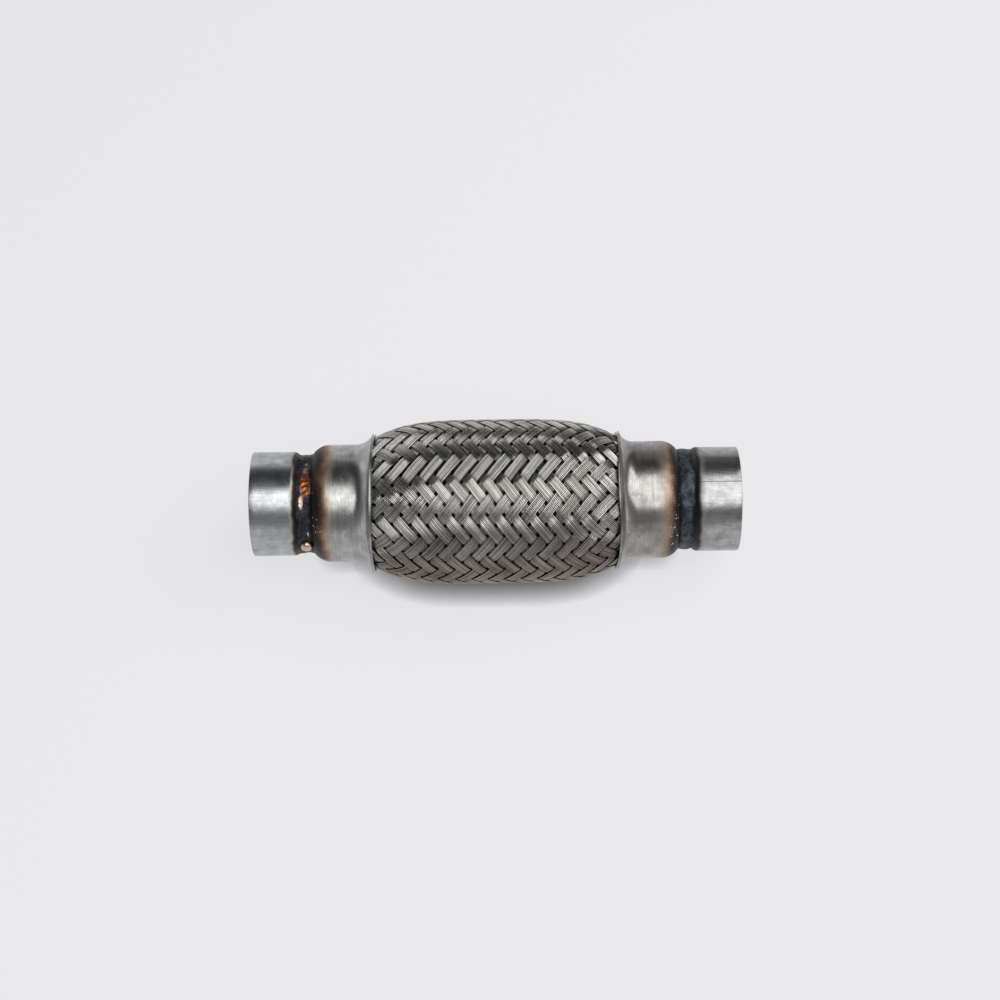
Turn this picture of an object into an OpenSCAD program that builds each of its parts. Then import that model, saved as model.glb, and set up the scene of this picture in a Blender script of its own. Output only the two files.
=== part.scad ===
// Exhaust flex pipe: a braided bellows between two pressed caps, with a stub pipe welded into each cap.
// The pipe axis runs along X, +Z is up, and the origin is on the axis halfway between the two welds.
// Sizes are in millimetres. The layers are sized outward from the bore, each one seated on the one below.

/* [Overall] */
// Distance between the centres of the two weld runs
weld_span = 150; // [130:1:200]
// Clearance between layers that are pushed over each other
fit_gap = 0.1; // [0.05:0.01:0.2]

/* [Stub pipes] */
// Inside diameter of the stub pipes
pipe_bore = 38; // [34:0.5:50]
// Wall of the stub pipes
pipe_wall = 1.5; // [1:0.1:2]
// Length of a stub pipe, from its weld centre to its end
stub_len = 20; // [15:0.5:40]
// How far the pipe is necked in, on the radius, to enter the cap
neck_drop = 2; // [1.6:0.1:2.4]
// Distance from the weld centre to the start of the neck's curve
neck_start = 0; // [0:0.1:1.5]
// Length of the neck's curve along the axis
neck_len = 4; // [3:0.1:6]
// How far the necked spigot reaches into the cap from the weld centre
spigot_len = 15; // [12:0.5:18]
// Chamfer on the cut end of a stub pipe
edge_break = 0.3; // [0.1:0.05:0.5]

/* [End caps] */
// Length of a cap, from the weld centre to its lip
cap_len = 26.7; // [24:0.1:30]
// Sheet of the caps
cap_wall = 1; // [0.8:0.05:1.3]
// Rise of the flared lip above the cap's cylinder
flare_rise = 4.25; // [3.5:0.05:4.8]
// Length of the flare along the axis
flare_len = 6.2; // [5.5:0.1:7]
// Length of the rolled-in end along the axis
roll_len = 6.2; // [5.5:0.1:7]
// Distance from the weld centre to the cap's rolled-in edge
cap_setback = 3.8; // [3:0.1:4.5]
// Height of the rolled-in edge above the pipe's neck
cap_rim = 1.4; // [1.1:0.05:1.5]

/* [Weld runs] */
// How far the weld lies below the cap's rolled-in edge
weld_undercut = 0.3; // [0.1:0.05:0.5]
// Crown of the inlet weld, negative where the run is sunken
inlet_crown = -0.3; // [-0.5:0.05:0.4]
// Crown of the outlet weld
outlet_crown = 0.2; // [-0.5:0.05:0.6]

/* [Outer braid] */
// Strands that run each way round the braid
strands = 24; // [20:2:28]
// Distance along the axis from one chevron to the next at the middle
braid_pitch = 6.4; // [6:0.02:7.4]
// Width of one strand
strand_w = 3.7; // [3.2:0.1:4.2]
// Thickness of the braid from its crests to its inside
braid_wall = 1.35; // [1.2:0.05:1.6]
// Step between a strand that lies on top and the middle of the wall
braid_relief = 0.45; // [0.3:0.01:0.5]
// Rise of the braid's barrel above its mouth in the cap's lip
barrel_rise = 7.3; // [5.5:0.1:8.5]
// Squareness of the barrel, where 2 is round and more is flatter in the middle
barrel_power = 4; // [3:0.1:5]
// Half rows of weave from one ring of open gaps to the next
open_spacing = 4; // [4:1:5]

/* [Bellows] */
// Sheet of the bellows
bellows_wall = 0.4; // [0.3:0.05:0.6]
// Length of one convolution along the axis
convolution_pitch = 3.2; // [2.8:0.1:4.5]
// Plain tube between the last convolution and the cap's lip
bellows_margin = 14; // [12:0.5:18]
// Clearance between the convolutions and the braid
bellows_gap = 0.3; // [0.2:0.05:0.6]

/* [Inner liner] */
// Thickness of the interlocked liner
liner_depth = 1.35; // [1.1:0.05:1.6]
// Strip that the liner is wound from
liner_sheet = 0.4; // [0.3:0.02:0.5]
// Length of one turn of the strip along the axis
liner_pitch = 4.5; // [4:0.1:6]

/* [Hidden] */

// Steps along the neck's curve, of which the weld covers the first ones
neck_steps = 6;
weld_toe_step = 3;
// Steps along a rounded stretch of a profile
arc_steps = 8;
bend_steps = 3;
round_fn = 96;

// Places along the axis, as distances from the middle
weld_x = weld_span / 2;
end_x = weld_x + stub_len;
neck_x = weld_x + neck_start;
spigot_x = weld_x - spigot_len;
cap_end_x = weld_x - cap_setback;
roll_x = cap_end_x - roll_len;
lip_x = weld_x - cap_len;
flare_x = lip_x + flare_len;

// Radii of the layers under the cap, from the bore outward
pipe_r = pipe_bore / 2 + pipe_wall;
neck_r = pipe_r - neck_drop;
liner_in_r = neck_r + fit_gap;
liner_out_r = liner_in_r + liner_depth;
cuff_in_r = liner_out_r + fit_gap;
cuff_out_r = cuff_in_r + bellows_wall;
strand_step = 180 / strands;
braid_cuff_in_r = (cuff_out_r + fit_gap) / cos(strand_step / 2);
cap_in_r = braid_cuff_in_r + braid_wall + fit_gap;
cap_r = cap_in_r + cap_wall;
rim_r = neck_r + cap_rim;

// The flare is an arc tangent to the cap's cylinder that curls away from the axis
flare_angle = 2 * atan(flare_rise / flare_len);
flare_rad = flare_len / sin(flare_angle);
flare_centre_r = cap_r + flare_rad;

// The rolled-in end is an arc tangent to the cap's cylinder that curls towards the axis
roll_drop = cap_r - rim_r;
roll_angle = 2 * atan(roll_drop / roll_len);
roll_rad = roll_len / sin(roll_angle);
roll_centre_r = cap_r - roll_rad;
roll_in_rad = roll_rad - cap_wall;
roll_in_angle = acos((neck_r - roll_centre_r) / roll_in_rad);

// Inside the flare the braid runs parallel to the sheet
braid_flare_rad = flare_rad + cap_wall + fit_gap;
mouth_angle = asin(flare_len / braid_flare_rad);
mouth_r = flare_centre_r - braid_flare_rad * cos(mouth_angle);

// The bellows fills the barrel with equal convolutions
convolutions = floor(2 * (lip_x - bellows_margin) / convolution_pitch);
convolution_end_x = convolutions * convolution_pitch / 2;
crest_r = barrel_r(convolution_end_x) - braid_wall - bellows_gap;
bend_rad = convolution_pitch / 4;

// The liner's turns lie between the two spigots
liner_turns = floor(2 * spigot_x / liner_pitch);
liner_wave_x = liner_turns * liner_pitch / 2;

// Radius of the braid's crests in the barrel, at a distance x from the middle
function barrel_r(x) = mouth_r + barrel_rise * (1 - pow(abs(x) / lip_x, barrel_power));

// Points of an arc in a profile, as [radius, place along the axis]
// Angle 0 points away from the axis and 90 points along the axis
function arc(centre_r, centre_x, rad, from, to, steps) = [
    for (i = [0:steps])
        let (a = from + (to - from) * i / steps)
        [centre_r + rad * cos(a), centre_x + rad * sin(a)]
];

// The same points in the other order
function reversed(points) = [for (i = [len(points) - 1:-1:0]) points[i]];

// Outer surface of the neck's curve, lowered by the given depth
function neck_curve(depth) = [
    for (i = [0:neck_steps])
        let (t = i / neck_steps)
        [neck_r + neck_drop * (1 - cos(180 * t)) / 2 - depth, neck_x + neck_len * t]
];

// Turns a profile of [radius, place along the axis] about the pipe's axis
module turned(profile) {
    rotate([0, 90, 0]) rotate_extrude($fn = round_fn) polygon(profile);
}

// Stub pipe on the +X side
module stub_pipe() {
    bore_r = pipe_r - pipe_wall;
    turned(concat(
        [[neck_r, spigot_x]],
        neck_curve(0),
        [[pipe_r, end_x - edge_break], [pipe_r - edge_break, end_x]],
        [[bore_r + edge_break, end_x], [bore_r, end_x - edge_break]],
        reversed(neck_curve(pipe_wall)),
        [[neck_r - pipe_wall, spigot_x]]
    ));
}

// Pressed cap on the +X side: flared lip, cylinder and rolled-in end
module pressed_cap() {
    turned(concat(
        arc(flare_centre_r, flare_x, flare_rad, 180 + flare_angle, 180, arc_steps),
        arc(roll_centre_r, roll_x, roll_rad, 0, roll_angle, arc_steps),
        [[neck_r, cap_end_x]],
        arc(roll_centre_r, roll_x, roll_in_rad, roll_in_angle, 0, arc_steps),
        arc(flare_centre_r, flare_x, flare_rad + cap_wall, 180, 180 + flare_angle, arc_steps)
    ));
}

// Weld run on the +X side, between the cap's rolled-in edge and the pipe's neck
module weld_run(crown) {
    foot = [for (i = [0:weld_toe_step]) neck_curve(0)[i]];
    toe = foot[weld_toe_step];
    root_r = rim_r - weld_undercut;
    surface = [
        for (i = [1:arc_steps])
            let (t = i / arc_steps)
            [toe[0] + (root_r - toe[0]) * t + crown * sin(180 * t), toe[1] + (cap_end_x - toe[1]) * t]
    ];
    turned(concat([[neck_r, cap_end_x]], foot, surface));
}

module inlet_pipe() {
    color("silver") mirror([1, 0, 0]) stub_pipe();
}

module outlet_pipe() {
    color("silver") stub_pipe();
}

module inlet_cap() {
    color("gainsboro") mirror([1, 0, 0]) pressed_cap();
}

module outlet_cap() {
    color("gainsboro") pressed_cap();
}

module inlet_weld() {
    color("dimgray") mirror([1, 0, 0]) weld_run(inlet_crown);
}

module outlet_weld() {
    color("dimgray") weld_run(outlet_crown);
}

// Braid lattice
// Strands of the first kind climb round the pipe as they run along +X, those of the second kind descend.
// Half row n and column m have a crossing where n + m is even and a gap between four strands where it is odd.
// A strand runs over two crossings and under the next two, so which one is on top depends only on m.
columns = 2 * strands;
first_column_angle = -90 + 2.5 * strand_step;
step_arc = PI / strands;
strand_side = norm([braid_pitch / 2, barrel_r(0) * step_arc]);
strand_edge = (1 - strand_w / strand_side) / 2;
gap_depth = 2.2 * braid_relief;
row_margin = 3 * fit_gap;

// A strand's length from crossing to crossing stays the same, so rows spread where the barrel narrows
function barrel_slope(x) = barrel_rise * barrel_power * pow(x / lip_x, barrel_power - 1) / lip_x;
function row_step(x) =
    sqrt((pow(strand_side, 2) - pow(barrel_r(x) * step_arc, 2)) / (1 + pow(barrel_slope(x), 2)));
function rows_from(x) = x > lip_x - row_margin ? [] : concat([x], rows_from(x + row_step(x)));
rows = rows_from(0);
last = len(rows) - 1;
open_rings = [for (i = [-2:2]) i * open_spacing];

function row_x(n) = sign(n) * rows[abs(n)];
function around(m) = (m + columns) % columns;
function second_on_top(m) = floor(around(m) / 2) % 2;
function is_open(n) = len([for (ring = open_rings) if (ring == n) ring]) > 0;
function gap_column(n, k) = 2 * k + (abs(n) + 1) % 2;

// Place on the braid at column m, at a depth below its crests
function on_braid(x, m, depth) =
    let (a = first_column_angle + m * strand_step, r = barrel_r(x) - depth)
    [x, -r * cos(a), r * sin(a)];

// Place on the line from the gap at row n and column m to the next row, one column up or down
function on_strand_side(n, m, climb, t, depth) =
    on_braid(row_x(n) + (row_x(n + 1) - row_x(n)) * t, m + climb * t, depth);
function strand_depth(m, climb) =
    let (second = second_on_top(m) + second_on_top(m + climb))
    braid_relief * (climb > 0 ? 2 - second : second);

function gap_points(depth) = [
    for (n = [-last:last], k = [0:strands - 1])
        on_braid(row_x(n), gap_column(n, k), depth)
];

// Four points for each gap, on its two sides that run towards +X, where the crossing strands have their edges
function side_points(depth, step) = [
    for (n = [-last:last - 1], k = [0:strands - 1], climb = [1, -1], t = [strand_edge, 1 - strand_edge])
        let (m = gap_column(n, k))
        on_strand_side(n, m, climb, t, depth + step * strand_depth(m, climb))
];

gap_count = (2 * last + 1) * strands;
woven_count = gap_count + 2 * last * strands * 4;

// Indices into the points, for the outer skin when skin is 0 and the inner one when it is 1
function gap(skin, n, m) = skin * woven_count + (n + last) * strands + floor(around(m) / 2);
function side(skin, n, m, climb, far) =
    skin * woven_count + gap_count + ((n + last) * strands + floor(around(m) / 2)) * 4
    + (climb > 0 ? 0 : 2) + far;

// The eight side points of the crossing at row n and column m, clockwise from its left corner seen from outside
function crossing_ring(skin, n, m) = [
    side(skin, n - 1, m, 1, 0), side(skin, n - 1, m, 1, 1),
    side(skin, n, m + 1, -1, 0), side(skin, n, m + 1, -1, 1),
    side(skin, n, m - 1, 1, 1), side(skin, n, m - 1, 1, 0),
    side(skin, n - 1, m, -1, 1), side(skin, n - 1, m, -1, 0)
];

// The four corners of a crossing: left, up, right and down seen from outside
function crossing_corners(skin, n, m) =
    [gap(skin, n - 1, m), gap(skin, n, m + 1), gap(skin, n + 1, m), gap(skin, n, m - 1)];
function corner_rows(n) = [n - 1, n, n + 1, n];

function fan(loop) = [for (i = [1:len(loop) - 2]) [loop[0], loop[i], loop[i + 1]]];

// Outer skin of one crossing: the flat of the top strand, a slope on each side of it and the four corners
function woven_faces(n, m) =
    let (p = crossing_ring(0, n, m), c = crossing_corners(0, n, m), r = corner_rows(n))
    let (top = second_on_top(m) > 0
        ? [[0, 1, 4, 5], [0, 5, 6, 7], [1, 2, 3, 4]]
        : [[7, 2, 3, 6], [7, 0, 1, 2], [6, 3, 4, 5]])
    concat(
        [for (quad = top) each fan([for (i = quad) p[i]])],
        [for (i = [0:3]) if (!is_open(r[i])) [c[i], p[2 * i], p[(2 * i + 7) % 8]]]
    );

// Crossings of the first and last rows have plain sides towards the cap
function end_faces(n, m) =
    let (p = crossing_ring(0, n, m), c = crossing_corners(0, n, m))
    n > 0
        ? fan([c[2], c[3], p[6], p[7], c[0], p[0], p[1], c[1]])
        : fan([c[0], c[1], p[2], p[3], c[2], p[4], p[5], c[3]]);

// Inner skin of one crossing, cut back where a corner is an open gap
function inner_faces(n, m) =
    let (p = crossing_ring(1, n, m), c = crossing_corners(1, n, m), r = corner_rows(n))
    let (loop = [for (i = [0:3]) each is_open(r[i]) ? [p[(2 * i + 7) % 8], p[2 * i]] : [c[i]]])
    fan(reversed(loop));

// Walls of the open gap at row n and column m
function gap_wall(n, m) =
    let (loops = [for (skin = [0, 1]) [
        side(skin, n - 1, m + 1, -1, 1), side(skin, n, m, 1, 0),
        side(skin, n, m, -1, 0), side(skin, n - 1, m - 1, 1, 1)
    ]])
    [for (i = [0:3]) each fan([loops[0][i], loops[0][(i + 1) % 4], loops[1][(i + 1) % 4], loops[1][i]])];

// Plain rings from the mouth through the flare to the end of the cuff, as [place, radius of the crests]
cuff_rings = concat(
    [for (p = reversed(arc(flare_centre_r, flare_x, braid_flare_rad, 180, 180 + mouth_angle, bend_steps + 2)))
        [p[1], p[0]]],
    [[roll_x, flare_centre_r - braid_flare_rad]]
);
ring_count = len(cuff_rings);

function ring_points(end, depth) = [
    for (ring = cuff_rings, m = [0:columns - 1])
        let (a = first_column_angle + m * strand_step, r = ring[1] - depth)
        [end * ring[0], -r * cos(a), r * sin(a)]
];

// Index of ring i of the cuff at one end, where ring -1 is the zigzag edge of the weave
function ring(skin, end, i, m) = i < 0
    ? gap(skin, end * ((last + m) % 2 == 1 ? last : last - 1), m)
    : 2 * woven_count + ((end > 0 ? 0 : 2) + skin) * ring_count * columns + i * columns + around(m);

// Faces of a band between two loops of the cuff, turned over when flip is true
function band(a, b, flip) = [
    for (i = [0:columns - 1])
        let (j = (i + 1) % columns, loop = [a[i], a[j], b[j], b[i]])
        each fan(flip ? reversed(loop) : loop)
];

function loop_at(skin, end, i) = [for (m = [0:columns - 1]) ring(skin, end, i, m)];

// Wire braid, two strands over and two under, with a ring of open gaps every few rows
module outer_braid() {
    points = concat(
        gap_points(gap_depth),
        side_points(0, 1),
        gap_points(braid_wall),
        side_points(braid_wall, 0),
        ring_points(1, 0),
        ring_points(1, braid_wall),
        ring_points(-1, 0),
        ring_points(-1, braid_wall)
    );
    crossings = [
        for (n = [1 - last:last - 1], k = [0:strands - 1])
            [n, 2 * k + abs(n) % 2]
    ];
    faces = concat(
        [for (c = crossings) each abs(c[0]) == last - 1 ? end_faces(c[0], c[1]) : woven_faces(c[0], c[1])],
        [for (c = crossings) each inner_faces(c[0], c[1])],
        [for (n = open_rings, k = [0:strands - 1]) each gap_wall(n, gap_column(n, k))],
        [for (end = [1, -1], skin = [0, 1], i = [0:ring_count - 1])
            each band(loop_at(skin, end, i - 1), loop_at(skin, end, i), (end > 0) == (skin > 0))],
        [for (end = [1, -1])
            each band(loop_at(0, end, ring_count - 1), loop_at(1, end, ring_count - 1), end < 0)]
    );
    color("darkgray") polyhedron(points, faces);
}

// Outer or inner surface of one convolution, where side is 1 outside and -1 inside
function convolution(x, side) =
    let (root_rad = bend_rad - side * bellows_wall / 2, top_rad = bend_rad + side * bellows_wall / 2)
    let (mid_r = cuff_in_r + bellows_wall / 2)
    concat(
        arc(mid_r + bend_rad, x - 2 * bend_rad, root_rad, 180, 90, bend_steps),
        arc(crest_r - bellows_wall / 2 - bend_rad, x, top_rad, -90, 90, 2 * bend_steps),
        arc(mid_r + bend_rad, x + 2 * bend_rad, root_rad, 270, 180, bend_steps)
    );

function convolution_row(side) = [
    for (i = [0:convolutions - 1])
        let (points = convolution((i + 0.5) * convolution_pitch - convolution_end_x, side))
        for (j = [0:len(points) - (i < convolutions - 1 ? 2 : 1)]) points[j]
];

// Gas-tight bellows: thin sheet with equal convolutions and a plain cuff under each cap
module bellows() {
    color("lightsteelblue") turned(concat(
        [[cuff_out_r, -roll_x]],
        convolution_row(1),
        [[cuff_out_r, roll_x], [cuff_in_r, roll_x]],
        reversed(convolution_row(-1)),
        [[cuff_in_r, -roll_x]]
    ));
}

// Strip-wound liner: hooked turns between two pressed end bands that sit on the spigots
module inner_liner() {
    low_r = liner_in_r + liner_sheet;
    high_r = liner_out_r - liner_sheet;
    starts = [for (i = [0:liner_turns - 1]) i * liner_pitch - liner_wave_x];
    outside = [
        for (x = starts, p = [[liner_out_r, 0], [low_r, 0], [low_r, 0.5], [liner_out_r, 0.5]])
            [p[0], x + p[1] * liner_pitch]
    ];
    inside = [
        for (x = starts)
            let (rise = x + liner_pitch / 2 + liner_sheet, fall = x + liner_pitch - liner_sheet)
            each [[liner_in_r, rise], [high_r, rise], [high_r, fall], [liner_in_r, fall]]
    ];
    color("slategray") turned(concat(
        [[liner_out_r, -roll_x]],
        outside,
        [[liner_out_r, roll_x], [liner_in_r, roll_x]],
        reversed(inside),
        [[liner_in_r, -roll_x]]
    ));
}

inlet_pipe();
outlet_pipe();
inlet_cap();
outlet_cap();
inlet_weld();
outlet_weld();
outer_braid();
bellows();
inner_liner();
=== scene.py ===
"""Dresses an exhaust flex pipe: stub pipes, pressed caps, burnt weld runs and a braid of separate wires."""
import logging
import math
from dataclasses import dataclass
from enum import Enum

import bpy
import numpy as np
from mathutils import Matrix, Vector


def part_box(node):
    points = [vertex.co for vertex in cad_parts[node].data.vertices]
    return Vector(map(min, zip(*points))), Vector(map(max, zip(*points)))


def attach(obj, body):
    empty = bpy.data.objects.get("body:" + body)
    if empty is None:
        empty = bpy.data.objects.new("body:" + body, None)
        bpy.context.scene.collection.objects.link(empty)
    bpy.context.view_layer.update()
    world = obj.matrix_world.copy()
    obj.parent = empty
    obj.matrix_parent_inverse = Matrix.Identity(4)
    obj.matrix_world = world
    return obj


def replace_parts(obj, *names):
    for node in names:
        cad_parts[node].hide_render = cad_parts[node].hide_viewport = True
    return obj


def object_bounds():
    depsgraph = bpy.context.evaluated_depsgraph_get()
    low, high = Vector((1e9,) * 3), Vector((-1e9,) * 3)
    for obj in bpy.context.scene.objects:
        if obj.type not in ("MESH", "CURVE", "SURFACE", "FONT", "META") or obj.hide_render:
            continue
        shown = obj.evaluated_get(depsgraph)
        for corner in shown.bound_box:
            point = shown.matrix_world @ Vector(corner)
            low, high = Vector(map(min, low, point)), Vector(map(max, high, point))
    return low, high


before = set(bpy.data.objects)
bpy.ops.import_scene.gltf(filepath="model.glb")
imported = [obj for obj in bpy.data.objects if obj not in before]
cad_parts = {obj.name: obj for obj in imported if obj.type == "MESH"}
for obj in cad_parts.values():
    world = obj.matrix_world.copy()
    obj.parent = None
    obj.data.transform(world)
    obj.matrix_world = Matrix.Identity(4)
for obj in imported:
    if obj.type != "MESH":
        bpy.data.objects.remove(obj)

CAD_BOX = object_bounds()
MM = 0.001
BODY = "root"
LOG = logging.getLogger("flex_pipe")
SPATTER_SEED = 51
# Sockets of a Mix node that mixes colours: its two colours and its result, whose names other sockets share
MIX_A, MIX_B, MIXED = 6, 7, 2
# Stops of a colour ramp, as place, hex code and alpha
Stops = tuple[tuple[float, str, float], ...]


class End(Enum):
    """The two ends of the pipe, by the sign of their X."""

    INLET = -1
    OUTLET = 1

    @property
    def label(self) -> str:
        """Lower-case name of the end, as the nodes use it."""
        return self.name.lower()


class Lay(Enum):
    """The two ways a strand winds: climbing or descending round the pipe as it runs along +X."""

    CLIMB = 1
    DESCEND = -1


def to_linear(code: str, alpha: float = 1.0) -> tuple[float, float, float, float]:
    """Turns an sRGB hex code into linear light.

    Args:
        code: Six hex digits with a leading hash.
        alpha: Alpha to carry along.

    Returns:
        Linear red, green and blue, and the alpha.
    """
    parts = [int(code[i:i + 2], 16) / 255 for i in (1, 3, 5)]
    linear = [p / 12.92 if p <= 0.04045 else ((p + 0.055) / 1.055) ** 2.4 for p in parts]
    return (linear[0], linear[1], linear[2], alpha)


def add_node(tree: bpy.types.NodeTree, kind: str, settings: dict | None = None,
             links: dict | None = None) -> bpy.types.Node:
    """Adds one shader node.

    Args:
        tree: Tree that takes the node.
        kind: Blender's type name of the node.
        settings: Input values by socket name or number, or attributes by name. The key stops takes the
            stops of a colour ramp, and the key limits takes the ends of the range that a Map Range node
            reads, and then the ends of the range that it gives.
        links: Output sockets by the name or number of the input they feed.

    Returns:
        The new node.
    """
    made = tree.nodes.new(kind)
    for key, value in (settings or {}).items():
        if key == "stops":
            elements = made.color_ramp.elements
            elements.remove(elements[1])
            for number, (place, code, alpha) in enumerate(value):
                element = elements[0] if number == 0 else elements.new(place)
                element.position = place
                element.color = to_linear(code, alpha)
        elif key == "limits":
            for number, limit in enumerate(value, start=1):
                made.inputs[number].default_value = limit
        elif isinstance(key, int) or key in made.inputs:
            made.inputs[key].default_value = value
        else:
            setattr(made, key, value)
    for key, output in (links or {}).items():
        tree.links.new(output, made.inputs[key])
    return made


def new_material(name: str) -> tuple[bpy.types.Material, bpy.types.NodeTree]:
    """Makes an empty node material.

    Args:
        name: Name of the material.

    Returns:
        The material and its empty tree.
    """
    material = bpy.data.materials.new(name)
    material.use_nodes = True
    material.node_tree.nodes.clear()
    return material, material.node_tree


def smooth_step(low: float, high: float, value: np.ndarray) -> np.ndarray:
    """Eases from 0 at low to 1 at high, by 3t^2 - 2t^3 with t clipped to 0..1."""
    t = np.clip((value - low) / (high - low), 0.0, 1.0)
    return t * t * (3 - 2 * t)


def wave_noise(rng: np.random.Generator, angle: np.ndarray, along: np.ndarray, *, waves: int, lowest: int,
               highest: int, reach: float = 0.0) -> np.ndarray:
    """Smooth noise round a ring: a sum of cosines of whole-number turns and free frequencies along the axis.

    Args:
        rng: Seeded source of the frequencies and phases.
        angle: Angles round the ring in radians.
        along: Places along the axis in mm, of a shape that fits angle.
        waves: How many cosines are added.
        lowest: Fewest waves round the ring.
        highest: Most waves round the ring.
        reach: Highest frequency along the axis in radians per mm.

    Returns:
        Noise of about unit size, of the broadcast shape.
    """
    turns = rng.integers(lowest, highest + 1, waves)
    speeds = rng.uniform(-reach, reach, waves)
    phases = rng.uniform(0, 2 * math.pi, waves)
    terms = np.cos(angle[..., None] * turns + along[..., None] * speeds + phases)
    return terms.sum(axis=-1) * math.sqrt(2 / waves)


def ring_quads(rings: int, columns: int, closed: bool) -> np.ndarray:
    """Quads between neighbouring rings of points that are numbered ring by ring.

    Args:
        rings: How many rings there are.
        columns: Points round each ring.
        closed: Whether the last ring joins the first.

    Returns:
        An array of four point numbers for each quad.
    """
    r = np.arange(rings if closed else rings - 1)[:, None]
    c = np.arange(columns)[None, :]
    next_r = (r + 1) % rings
    next_c = (c + 1) % columns
    corners = [r * columns + c, next_r * columns + c, next_r * columns + next_c, r * columns + next_c]
    return np.stack(np.broadcast_arrays(*corners), axis=-1).reshape(-1, 4)


def turned_quads(points: np.ndarray, end: End) -> np.ndarray:
    """Quads of a closed profile turned about the axis.

    Args:
        points: Points by place in the profile and place round the axis.
        end: End of the pipe. The inlet's profile is mirrored, so its quads are turned over.

    Returns:
        An array of four point numbers for each quad, which face outward.
    """
    quads = ring_quads(points.shape[0], points.shape[1], True)
    return quads[:, ::-1] if end is End.INLET else quads


def tube_quads(rings: int, columns: int, tubes: int) -> np.ndarray:
    """Quads of equal tubes with closed ends, whose rings have an even number of points.

    Each end is a fan of quads that share the first point of its ring.

    Args:
        rings: How many rings a tube has.
        columns: Points round each ring.
        tubes: How many tubes follow one another.

    Returns:
        An array of four point numbers for each quad.
    """
    i = np.arange(1, columns - 1, 2)
    disc = np.stack([0 * i, i, i + 1, i + 2], axis=-1)
    last = disc[:, ::-1] + (rings - 1) * columns
    one = np.concatenate([ring_quads(rings, columns, False), disc, last])
    starts = np.arange(tubes)[:, None, None] * rings * columns
    return (one[None] + starts).reshape(-1, 4)


def around_axis(x: np.ndarray, radius: np.ndarray, angle: np.ndarray) -> np.ndarray:
    """Points about the pipe's axis: angle 0 faces -Y and a quarter turn faces +Z.

    Args:
        x: Places along the axis.
        radius: Distances from the axis.
        angle: Angles in radians.

    Returns:
        Points of the broadcast shape with a last axis of three.
    """
    x, radius, angle = np.broadcast_arrays(x, radius, angle)
    return np.stack([x, -radius * np.cos(angle), radius * np.sin(angle)], axis=-1)


def make_piece(name: str, points: np.ndarray, quads: np.ndarray, material: bpy.types.Material,
               attributes: dict[str, np.ndarray] | None = None) -> bpy.types.Object:
    """Puts a surface into the scene as one smooth piece that rides on the part.

    Args:
        name: Name of the piece.
        points: Points in mm, with a last axis of three.
        quads: Four point numbers for each face.
        material: Finish of the piece.
        attributes: Values on the points, by name.

    Returns:
        The new object.
    """
    flat = np.ascontiguousarray(points.reshape(-1, 3) * MM, dtype=np.float32)
    loops = np.ascontiguousarray(quads.reshape(-1), dtype=np.int32)
    mesh = bpy.data.meshes.new(name)
    mesh.vertices.add(len(flat))
    mesh.vertices.foreach_set("co", flat.ravel())
    mesh.loops.add(len(loops))
    mesh.loops.foreach_set("vertex_index", loops)
    mesh.polygons.add(len(quads))
    mesh.polygons.foreach_set("loop_start", np.arange(0, len(loops), 4, dtype=np.int32))
    for key, values in (attributes or {}).items():
        layer = mesh.attributes.new(key, "FLOAT", "POINT")
        layer.data.foreach_set("value", np.ascontiguousarray(values.ravel(), dtype=np.float32))
    mesh.update(calc_edges=True)
    mesh.validate()
    mesh.polygons.foreach_set("use_smooth", np.ones(len(mesh.polygons), dtype=bool))
    mesh.materials.append(material)
    piece = bpy.data.objects.new(name, mesh)
    bpy.context.scene.collection.objects.link(piece)
    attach(piece, BODY)
    LOG.info("%s: %d points, %d quads", name, len(flat), len(quads))
    return piece


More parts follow.
